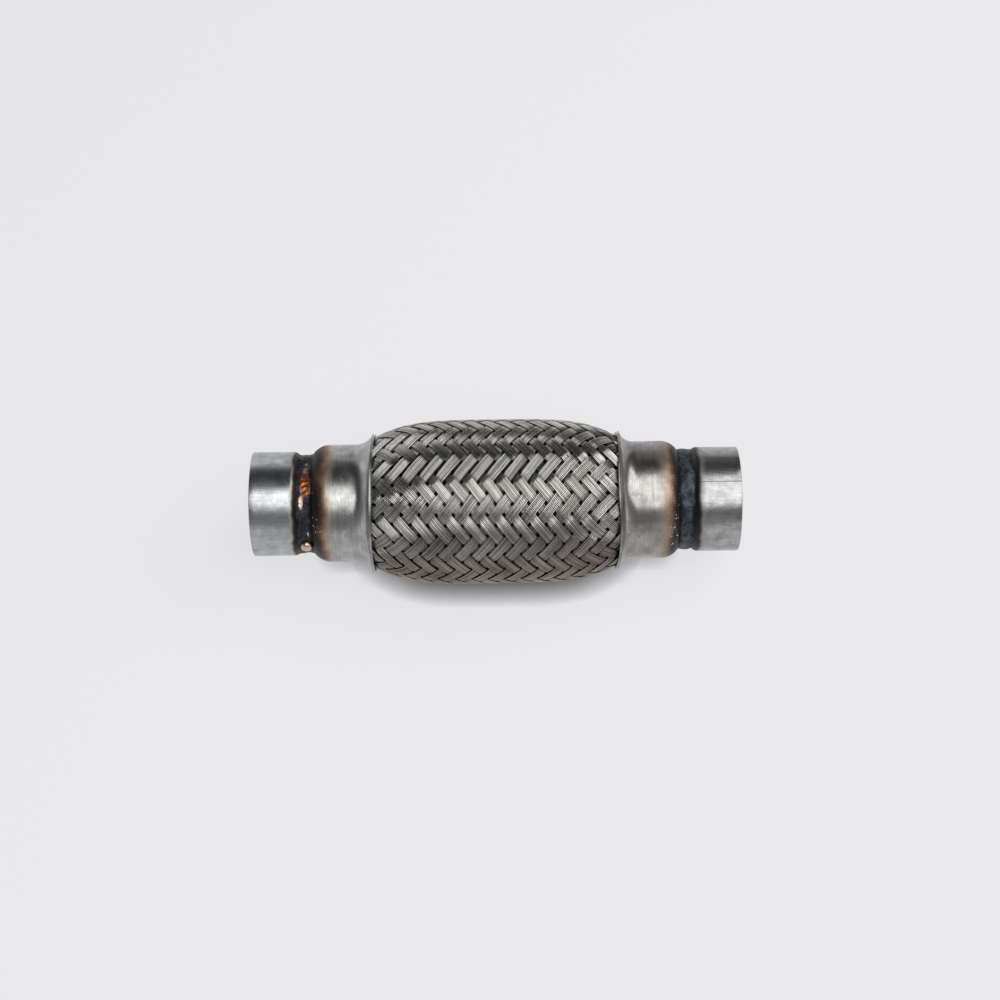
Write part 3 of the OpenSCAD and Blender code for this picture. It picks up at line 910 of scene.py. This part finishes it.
@dataclass
class WireBraid:
    """Tubular braid of wire strands, two over and two under, swollen into a barrel.

    Lengths along a strand count in crossings. The tones are the least and what is added to it, and sway and
    fan hold the sizes and the speeds of two slow waves along a strand.
    """

    sizes: PipeSizes
    wires: int = 7
    wire_d: float = 0.45
    strand_w: float = 3.84
    layer_drop: float = 0.45
    sides: int = 6
    cover_mm: float = 4.0
    row_samples: int = 1601
    first_column: float = -71.25
    groups: int = 4
    flat_half: float = 0.37
    end_margin: float = 0.5
    dive: tuple[float, float] = (0.87, 1.13)
    crown_mm: float = 0.06
    round_off_mm: float = 0.03
    lift_mm: float = 0.02
    jitter: float = 0.006
    sway: tuple[tuple[float, float], ...] = ((0.018, 0.45), (0.014, 1.1))
    fan: tuple[tuple[float, float], ...] = ((0.1, 0.5), (0.03, 0.8))
    wire_tone: tuple[float, float] = (0.62, 0.5)
    strand_tone: float = 0.08
    # Painted shade across each wire, from its underside to its crest: least share and added share
    crest_shade_tone: tuple[float, float] = (0.1, 0.9)
    # Painted shade where a strand dives under the crossing strands: least share and added share by how far it
    # is on top
    dive_shade_tone: tuple[float, float] = (0.55, 0.45)
    seed: int = 41

    def crest_r(self, x: np.ndarray) -> np.ndarray:
        """Radius over the strands' crests.

        In the barrel it is the mouth's radius plus the rise times 1 - (x / lip)^power. Past the lip it
        keeps a fixed distance under the flare's arc.

        Args:
            x: Places along the axis in mm.

        Returns:
            Radii of the same shape.
        """
        s = self.sizes
        reach = s.flare_rad + s.cap_wall + s.braid_gap
        centre_r = s.cap_r + s.flare_rad
        depth = np.clip(s.flare_x - np.abs(x), 0, s.flare_len)
        flare = centre_r - np.sqrt(reach ** 2 - depth ** 2)
        mouth = centre_r - math.sqrt(reach ** 2 - s.flare_len ** 2)
        barrel = mouth + s.barrel_rise * (1 - (np.abs(x) / s.lip_x) ** s.barrel_power)
        return np.where(np.abs(x) < s.lip_x, barrel, flare)

    def rows(self) -> tuple[np.ndarray, np.ndarray]:
        """How half rows of crossings spread along the axis.

        A strand's length between crossings stays the same, so a row is as long as the rest of that length
        leaves after the step round the barrel and the slope of the barrel.

        Returns:
            Places along the axis and the half row that lies there, both rising.
        """
        s = self.sizes
        step = math.pi / s.strands
        last = s.lip_x + self.cover_mm
        x = np.linspace(-last, last, self.row_samples)
        r = self.crest_r(x)
        side_sq = (s.braid_pitch / 2) ** 2 + (self.crest_r(np.array(0.0)) * step) ** 2
        slope = np.gradient(r, x)
        spacing = np.sqrt((side_sq - (r * step) ** 2) / (1 + slope ** 2))
        density = 1 / spacing
        half = np.concatenate([[0], np.cumsum((density[1:] + density[:-1]) / 2 * np.diff(x))])
        return x, half - half[len(half) // 2]

    def strand_points(self, lay: Lay, rng: np.random.Generator) -> tuple[np.ndarray, np.ndarray]:
        """Tubes of all the strands that wind one way.

        In lattice steps a strand runs along (1, 1) or (1, -1), and its wires lie side by side along the
        other diagonal. It is on top for two crossings and below for two, and it steps down between the
        edges of the strands that it crosses.

        Args:
            lay: Which way the strands wind.
            rng: Seeded source of the small faults in the weave.

        Returns:
            Points by strand, wire, place and side, and a grey tone for each of them. The tone differs at
            random from wire to wire, and painted shade darkens it towards each wire's underside and where the
            strand dives under.
        """
        s = self.sizes
        place_x, place_row = self.rows()
        first, last = math.ceil(place_row[0]), math.floor(place_row[-1])
        stops = np.array([-self.flat_half, 0.0, self.flat_half])
        along = (np.arange(first, last + 1)[:, None] + stops).ravel()
        along = along[(along > place_row[0] + self.end_margin) & (along < place_row[-1] - self.end_margin)]
        strand = np.arange(s.strands)[:, None, None]
        wire = (np.arange(self.wires) - (self.wires - 1) / 2)[None, :, None]
        run = along[None, None, :]
        column = lay.value * run + 2 * strand
        phase = rng.uniform(0, 2 * math.pi, (2, s.strands, 1, 1))
        slow, quick = (size * np.sin(speed * run + start) for (size, speed), start in zip(self.sway, phase))
        shift = slow + quick
        loose = rng.uniform(0, 1, (s.strands, 1, 1)) ** 3
        slow, quick = (size * np.sin(speed * run + start) for (size, speed), start in zip(self.fan, phase))
        spread = 1 + quick + loose * slow
        side_mm = math.hypot(s.braid_pitch / 2, float(self.crest_r(np.array(0.0))) * math.pi / s.strands)
        pitch = (self.strand_w - self.wire_d) / (self.wires - 1) / side_mm
        jitter = rng.normal(0, self.jitter, (s.strands, self.wires, len(along)))
        offset = wire * pitch * spread + shift + jitter
        row = run + offset
        turn = column - lay.value * offset
        middle = 0.5 if lay is Lay.CLIMB else 2.5
        away = np.abs((column - middle + 2) % 4 - 2)
        over = 1 - smooth_step(*self.dive, away)
        crown = self.crown_mm * np.cos(away * math.pi / 2)
        x = np.interp(row, place_row, place_x)
        lift = rng.normal(0, self.lift_mm, (s.strands, self.wires, 1))
        round_off = self.round_off_mm * (2 * wire / (self.wires - 1)) ** 2
        sunk = self.wire_d / 2 + self.layer_drop * (1 - over)
        depth = sunk + self.crown_mm - crown + round_off * over + lift
        radius = self.crest_r(x) - depth
        angle = np.radians(self.first_column + turn * 180 / s.strands)
        centre = around_axis(x, radius, angle)
        tangent = np.gradient(centre, axis=2)
        tangent /= np.linalg.norm(tangent, axis=-1, keepdims=True)
        outward = around_axis(0 * angle, np.ones_like(angle), angle)
        across = np.cross(tangent, outward)
        across /= np.linalg.norm(across, axis=-1, keepdims=True)
        upward = np.cross(across, tangent)
        ring = np.linspace(0, 2 * math.pi, self.sides, endpoint=False)[:, None] + math.pi / 2
        tube = np.cos(ring) * across[..., None, :] + np.sin(ring) * upward[..., None, :]
        points = centre[..., None, :] + self.wire_d / 2 * tube
        wire_tone = self.wire_tone[0] + self.wire_tone[1] * rng.uniform(0, 1, (s.strands, self.wires, 1, 1))
        strand_tone = self.strand_tone * rng.uniform(-1, 1, (s.strands, 1, 1, 1))
        # Painted shade: each wire is lightest along its crest and darker on its sides and underside, where
        # its neighbours shade it
        topside = np.clip((1 + np.sin(ring[:, 0])) / 2, 0, 1)
        painted_crest_shade = self.crest_shade_tone[0] + self.crest_shade_tone[1] * topside ** 2
        # Painted shade: where a strand dives under the crossing strands its wires are darker
        painted_dive_shade = (self.dive_shade_tone[0] + self.dive_shade_tone[1] * over)[..., None]
        tone = np.clip((wire_tone + strand_tone) * painted_crest_shade * painted_dive_shade, 0, 1)
        return points, np.broadcast_to(tone, points.shape[:-1])

    def build(self, material: bpy.types.Material) -> list[bpy.types.Object]:
        """Makes the wires of both lays and puts them into a few pieces.

        Args:
            material: Finish of the wire.

        Returns:
            The pieces.
        """
        rng = np.random.default_rng(self.seed)
        pieces = []
        for lay in Lay:
            points, tone = self.strand_points(lay, rng)
            half = self.sizes.strands // (self.groups // 2)
            quads = tube_quads(points.shape[2], self.sides, half * self.wires)
            for number in range(self.groups // 2):
                chosen = slice(number * half, (number + 1) * half)
                name = f"braid_wires_{lay.name.lower()}_{number + 1}"
                pieces.append(make_piece(name, points[chosen], quads, material,
                                         {"tone": tone[chosen]}))
        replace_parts(pieces[0], "outer_braid")
        return pieces


@dataclass
class Core:
    """Bellows and liner, which show through the gaps of the braid and through the bores."""

    def dress(self, bellows: bpy.types.Material, liner: bpy.types.Material) -> None:
        """Gives the two solids their finishes.

        Args:
            bellows: Finish of the bellows.
            liner: Finish of the liner.
        """
        for node, material in (("bellows", bellows), ("inner_liner", liner)):
            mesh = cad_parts[node].data
            mesh.materials.clear()
            mesh.materials.append(material)
            LOG.info("%s: finish %s", node, material.name)


@dataclass
class Studio:
    """Pale floor, dim room, soft light from above on the camera's side, and the camera.

    The walls are colours by height above the horizon, as the sine of the elevation.
    """

    elevation: float = 58.0
    distance_mm: float = 780.0
    frame_width_mm: float = 394.6
    target_x_mm: float = 1.78
    target_up_mm: float = 0.5
    roll_deg: float = 0.7
    floor_size: float = 6.0
    floor_colour: str = "#F6F6F8"
    floor_seen: str = "#EAE9EC"
    floor_share: float = 0.84
    floor_shade_mm: float = 12.0
    floor_shade_power: float = 2.0
    lamp_elevation: float = 80.0
    lamp_aside: float = 0.45
    lamp_distance: float = 1.1
    lamp_size: tuple[float, float] = (2.3, 1.22)
    lamp_turn: float = 38.0
    lamp_radiance: float = 2.35
    near_wall: Stops = ((0.0, "#D6D6D8", 1.0), (0.06, "#BEBFC1", 1.0), (0.16, "#9C9DA0", 1.0),
                        (0.5, "#808082", 1.0), (0.7, "#303032", 1.0))
    far_wall: Stops = ((0.0, "#F4F4F6", 1.0), (0.42, "#F0F0F2", 1.0), (0.58, "#6A6A6C", 1.0),
                       (0.7, "#2C2C2E", 1.0))
    dark_wall: Stops = ((0.0, "#E8E8EA", 1.0), (0.08, "#DCDCDE", 1.0), (0.15, "#A8A6A4", 1.0),
                        (0.2, "#5A5652", 1.0), (0.5, "#504E4C", 1.0), (0.7, "#2C2C2E", 1.0))
    side_blend: float = 0.08
    back_blend: float = 0.25
    sensor_mm: float = 36.0

    def facing(self, elevation: float) -> Vector:
        """Unit vector from the object towards an elevation on the camera's side."""
        a = math.radians(elevation)
        return Vector((0, -math.cos(a), math.sin(a)))

    def build(self) -> None:
        """Makes the floor, the room, the lamp and the camera."""
        self.lay_floor()
        self.light()
        self.set_camera()

    def lay_floor(self) -> None:
        """Lays a flat matt floor at the part's lowest point.

        What is seen of it directly, in gloss or through glass is paler than it is lit, and darker close to
        the part, where less sky is open.
        """
        half = self.floor_size / 2
        z = CAD_BOX[0].z
        mesh = bpy.data.meshes.new("studio_floor")
        mesh.from_pydata([(-half, -half, z), (half, -half, z), (half, half, z), (-half, half, z)], [],
                         [(0, 1, 2, 3)])
        material, tree = new_material("Matt white card")
        matt = add_node(tree, "ShaderNodeBsdfDiffuse", {"Color": to_linear(self.floor_colour)})
        open_sky = add_node(tree, "ShaderNodeAmbientOcclusion",
                            {"samples": 8, "Distance": self.floor_shade_mm * MM}).outputs["AO"]
        shade = add_node(tree, "ShaderNodeMath", {"operation": "POWER", 1: self.floor_shade_power},
                         {0: open_sky}).outputs[0]
        pale = add_node(tree, "ShaderNodeEmission", {"Color": to_linear(self.floor_seen)},
                        {"Strength": shade})
        ray = add_node(tree, "ShaderNodeLightPath")
        direct = add_node(tree, "ShaderNodeMath", {"operation": "MAXIMUM"},
                          {0: ray.outputs["Is Camera Ray"], 1: ray.outputs["Is Glossy Ray"]}).outputs[0]
        seen = add_node(tree, "ShaderNodeMath", {"operation": "MAXIMUM"},
                        {0: direct, 1: ray.outputs["Is Transmission Ray"]}).outputs[0]
        share = add_node(tree, "ShaderNodeMath", {"operation": "MULTIPLY", 1: self.floor_share},
                         {0: seen}).outputs[0]
        card = add_node(tree, "ShaderNodeMixShader", None, {0: share, 1: matt.outputs[0], 2: pale.outputs[0]})
        add_node(tree, "ShaderNodeOutputMaterial", None, {"Surface": card.outputs[0]})
        mesh.materials.append(material)
        floor = bpy.data.objects.new("studio_floor", mesh)
        bpy.context.scene.collection.objects.link(floor)

    def light(self) -> None:
        """Sets a dim room with pale walls low down, and one wide soft box above the camera and to its right.

        The far wall is pale on the left, and on the right it is dark above a low pale band.
        """
        world = bpy.data.worlds.new("Studio room")
        world.use_nodes = True
        tree = world.node_tree
        tree.nodes.clear()
        way = add_node(tree, "ShaderNodeTexCoord").outputs["Generated"]
        aside, away, height = add_node(tree, "ShaderNodeSeparateXYZ", None, {0: way}).outputs
        near, far, dark = (add_node(tree, "ShaderNodeValToRGB", {"stops": stops}, {0: height}).outputs[0]
                           for stops in (self.near_wall, self.far_wall, self.dark_wall))
        to_right = add_node(tree, "ShaderNodeMapRange", {"limits": (-self.side_blend, self.side_blend)},
                            {0: aside}).outputs[0]
        to_back = add_node(tree, "ShaderNodeMapRange", {"limits": (-self.back_blend, self.back_blend)},
                           {0: away}).outputs[0]
        behind = add_node(tree, "ShaderNodeMix", {"data_type": "RGBA"},
                          {0: to_right, MIX_A: far, MIX_B: dark}).outputs[MIXED]
        room = add_node(tree, "ShaderNodeMix", {"data_type": "RGBA"},
                        {0: to_back, MIX_A: near, MIX_B: behind}).outputs[MIXED]
        background = add_node(tree, "ShaderNodeBackground", {"Strength": 1.0}, {"Color": room})
        add_node(tree, "ShaderNodeOutputWorld", None, {"Surface": background.outputs[0]})
        bpy.context.scene.world = world
        lamp = bpy.data.lights.new("soft_box", "AREA")
        lamp.shape = "RECTANGLE"
        lamp.size, lamp.size_y = self.lamp_size
        lamp.energy = self.lamp_radiance * math.pi * lamp.size * lamp.size_y
        holder = bpy.data.objects.new("soft_box", lamp)
        aim = self.facing(self.lamp_elevation) * self.lamp_distance
        holder.location = aim + Vector((self.lamp_aside, 0, 0))
        back = holder.location.normalized()
        level = (Vector((1, 0, 0)) - back * back.x).normalized()
        square = Matrix((level, back.cross(level), back)).transposed()
        slant = Matrix.Rotation(math.radians(self.lamp_turn), 3, "Z")
        holder.rotation_euler = (square @ slant).to_euler()
        bpy.context.scene.collection.objects.link(holder)

    def set_camera(self) -> None:
        """Places the camera so that the part fills the same part of the frame as in the photograph."""
        camera = bpy.data.cameras.new("camera")
        camera.sensor_width = self.sensor_mm
        camera.sensor_fit = "HORIZONTAL"
        camera.lens = self.sensor_mm * self.distance_mm / self.frame_width_mm
        holder = bpy.data.objects.new("camera", camera)
        a = math.radians(self.elevation)
        up = Vector((0, math.sin(a), math.cos(a)))
        target = Vector((self.target_x_mm, 0, 0)) * MM + up * self.target_up_mm * MM
        turn = Matrix.Rotation(math.radians(90 - self.elevation), 4, "X")
        roll = Matrix.Rotation(math.radians(-self.roll_deg), 4, "Z")
        place = Matrix.Translation(target + self.facing(self.elevation) * self.distance_mm * MM)
        holder.matrix_world = place @ turn @ roll
        bpy.context.scene.collection.objects.link(holder)
        bpy.context.scene.camera = holder


def spatter_places(rng: np.random.Generator, count: int, angles: tuple[float, float],
                   span: tuple[float, float], sizes: tuple[float, float]) -> np.ndarray:
    """Scatters droplets over a patch of a cap.

    Args:
        rng: Seeded source of the places.
        count: How many droplets there are.
        angles: Lowest and highest angle in degrees.
        span: Nearest and farthest place along the axis in mm.
        sizes: Smallest and largest radius in mm, with small ones more common.

    Returns:
        Rows of angle, place along the axis, radius and lift.
    """
    t = rng.uniform(0, 1, (count, 3))
    angle = angles[0] + (angles[1] - angles[0]) * t[:, 0]
    x = span[0] + (span[1] - span[0]) * t[:, 1]
    size = sizes[0] + (sizes[1] - sizes[0]) * t[:, 2] ** 3
    return np.stack([angle, x, size, np.zeros(count)], axis=-1)


def main() -> None:
    """Builds and dresses every piece in order."""
    logging.basicConfig(level=logging.INFO, format="%(name)s: %(message)s")
    bpy.context.scene.view_settings.view_transform = "Standard"
    sizes = PipeSizes()
    Studio().build()

    cap_tints = {
        End.INLET: ((0.0, "#C0AB88", 0.0), (0.25, "#A98B66", 0.35), (0.42, "#7C5636", 0.75),
                    (0.58, "#4A2C1A", 0.95), (0.74, "#1A110D", 1.0), (1.0, "#0B090A", 1.0)),
        End.OUTLET: ((0.0, "#A99B84", 0.0), (0.25, "#B09A7C", 0.25), (0.45, "#94704E", 0.6),
                     (0.62, "#5E3D28", 0.9), (0.75, "#241A15", 1.0), (0.88, "#141416", 1.0),
                     (1.0, "#1C2228", 1.0)),
    }
    pipe_tints = {
        End.INLET: ((0.0, "#100E0E", 1.0), (0.36, "#161210", 1.0), (0.43, "#3A2C1C", 0.9),
                    (0.5, "#9A8A62", 0.5), (0.6, "#B5B0A0", 0.0)),
        End.OUTLET: ((0.0, "#17191E", 1.0), (0.42, "#101012", 1.0), (0.5, "#2B2A2C", 0.9),
                     (0.62, "#77736C", 0.4), (0.8, "#8E8982", 0.0)),
    }
    seams = {End.INLET: None, End.OUTLET: 77.0}
    # Angle and its spread, place and its spread, weight and blush of each bare spot
    spot_rows = ((94.0, 9.0, 73.6, 1.5, 0.55, 0.2), (82.0, 9.0, 73.3, 1.9, 0.95, 0.0),
                 (72.0, 6.0, 73.2, 1.7, 1.0, 0.1), (59.0, 7.0, 75.0, 0.9, 0.95, 0.95),
                 (20.0, 6.0, 72.6, 0.5, 0.5, 1.0), (112.0, 8.0, 73.4, 0.9, 0.35, 0.5))
    copper_spots = tuple(BareSpot(*row) for row in spot_rows)
    beads = {
        End.INLET: WeldRun(sizes, End.INLET, crown=-0.3, ripples=44, ripple_mm=0.02, lump_mm=0.16,
                           spots=copper_spots),
        End.OUTLET: WeldRun(sizes, End.OUTLET, crown=0.2, ripples=60, ripple_mm=0.04, lump_mm=0.14),
    }
    crusts = {
        End.INLET: WeldScale("Burnt weld metal with copper patches", "#3C3E4C", "#0E0D10", "#B0623A",
                             "#E8CDBB", grit_mm=0.7, patch_mm=2.4).make(),
        End.OUTLET: WeldScale("Slate weld scale", "#4C5864", "#101317", "#8F8F92", "#D8D8DA",
                              grit_mm=0.6, patch_mm=2.6).make(),
    }
    tube_greys = {End.INLET: ("#BEC0C1", "#A0A2A4"), End.OUTLET: ("#B2B2B2", "#8E8E8D")}
    sheet_greys = {End.INLET: ("#B4B5B3", "#939492"), End.OUTLET: ("#AAA8A4", "#878582")}
    for end in End:
        tube = HeatedSteel(f"Drawn steel tube {end.label}", *tube_greys[end], cloud_mm=5.0, line_mm=0.35,
                           lines_along_axis=True, roughness=(0.23, 0.32), weld_x_mm=sizes.weld_x,
                           tint_from_mm=0.0, tint_to_mm=8.0, tint=pipe_tints[end], tint_drift=0.11,
                           seam_deg=seams[end])
        sheet = HeatedSteel(f"Pressed steel sheet {end.label}", *sheet_greys[end], cloud_mm=6.0, line_mm=0.5,
                            lines_along_axis=False, roughness=(0.22, 0.36), weld_x_mm=sizes.weld_x,
                            tint_from_mm=-13.0, tint_to_mm=-3.8, tint=cap_tints[end], tint_drift=0.2)
        StubPipe(sizes, end).build(tube.make())
        PressedCap(sizes, end).build(sheet.make())
        beads[end].build(crusts[end])

    bright = WeldScale("Bright weld spatter", "#B9B6B0", "#8F8C88", "#C9C4BC", "#F0ECE6",
                       grit_mm=0.5, patch_mm=2.0).make()
    rng = np.random.default_rng(SPATTER_SEED)
    inlet_cap, outlet_cap = (PressedCap(sizes, end) for end in End)
    low = spatter_places(rng, 14, angles=(4.0, 30.0), span=(66.5, 70.5), sizes=(0.14, 0.5))
    high = spatter_places(rng, 22, angles=(34.0, 82.0), span=(67.5, 71.0), sizes=(0.08, 0.26))
    outlet = np.concatenate([low, high])
    Spatter(outlet_cap, outlet).build("outlet_spatter", bright)
    inlet = spatter_places(rng, 14, angles=(25.0, 80.0), span=(67.5, 70.8), sizes=(0.1, 0.22))
    Spatter(inlet_cap, inlet).build("inlet_spatter", bright)
    # One large drop, by its angle, place, radius and lift
    drop = np.array([[2.5, 73.6, 2.4, -0.3]])
    cream = WeldScale("Cream weld drop", "#B79E8C", "#8A6E5C", "#C0A28E", "#D6BBA8",
                      grit_mm=1.2, patch_mm=4.0).make()
    Spatter(inlet_cap, drop, rings=14, columns=24).build("inlet_weld_drop", cream)

    wire = DrawnWire("Bright-drawn stainless wire", "#1E1C1A", "#E4E2DC", "#94806F", stain_mm=18.0)
    WireBraid(sizes).build(wire.make())
    # Painted shade: the bellows are stainless sheet, but their colours are near black because they lie in
    # deep shade behind the braid's gaps
    bellows = InnerSheet("Rolled stainless sheet, dulled", "#2C2B2A", "#141414", film_mm=4.0,
                         roughness=(0.5, 0.7))
    liner = InnerSheet("Strip-wound stainless", "#A0A09C", "#6E6E6C", film_mm=6.0, roughness=(0.3, 0.5))
    Core().dress(bellows.make(), liner.make())


if __name__ == "__main__":
    main()
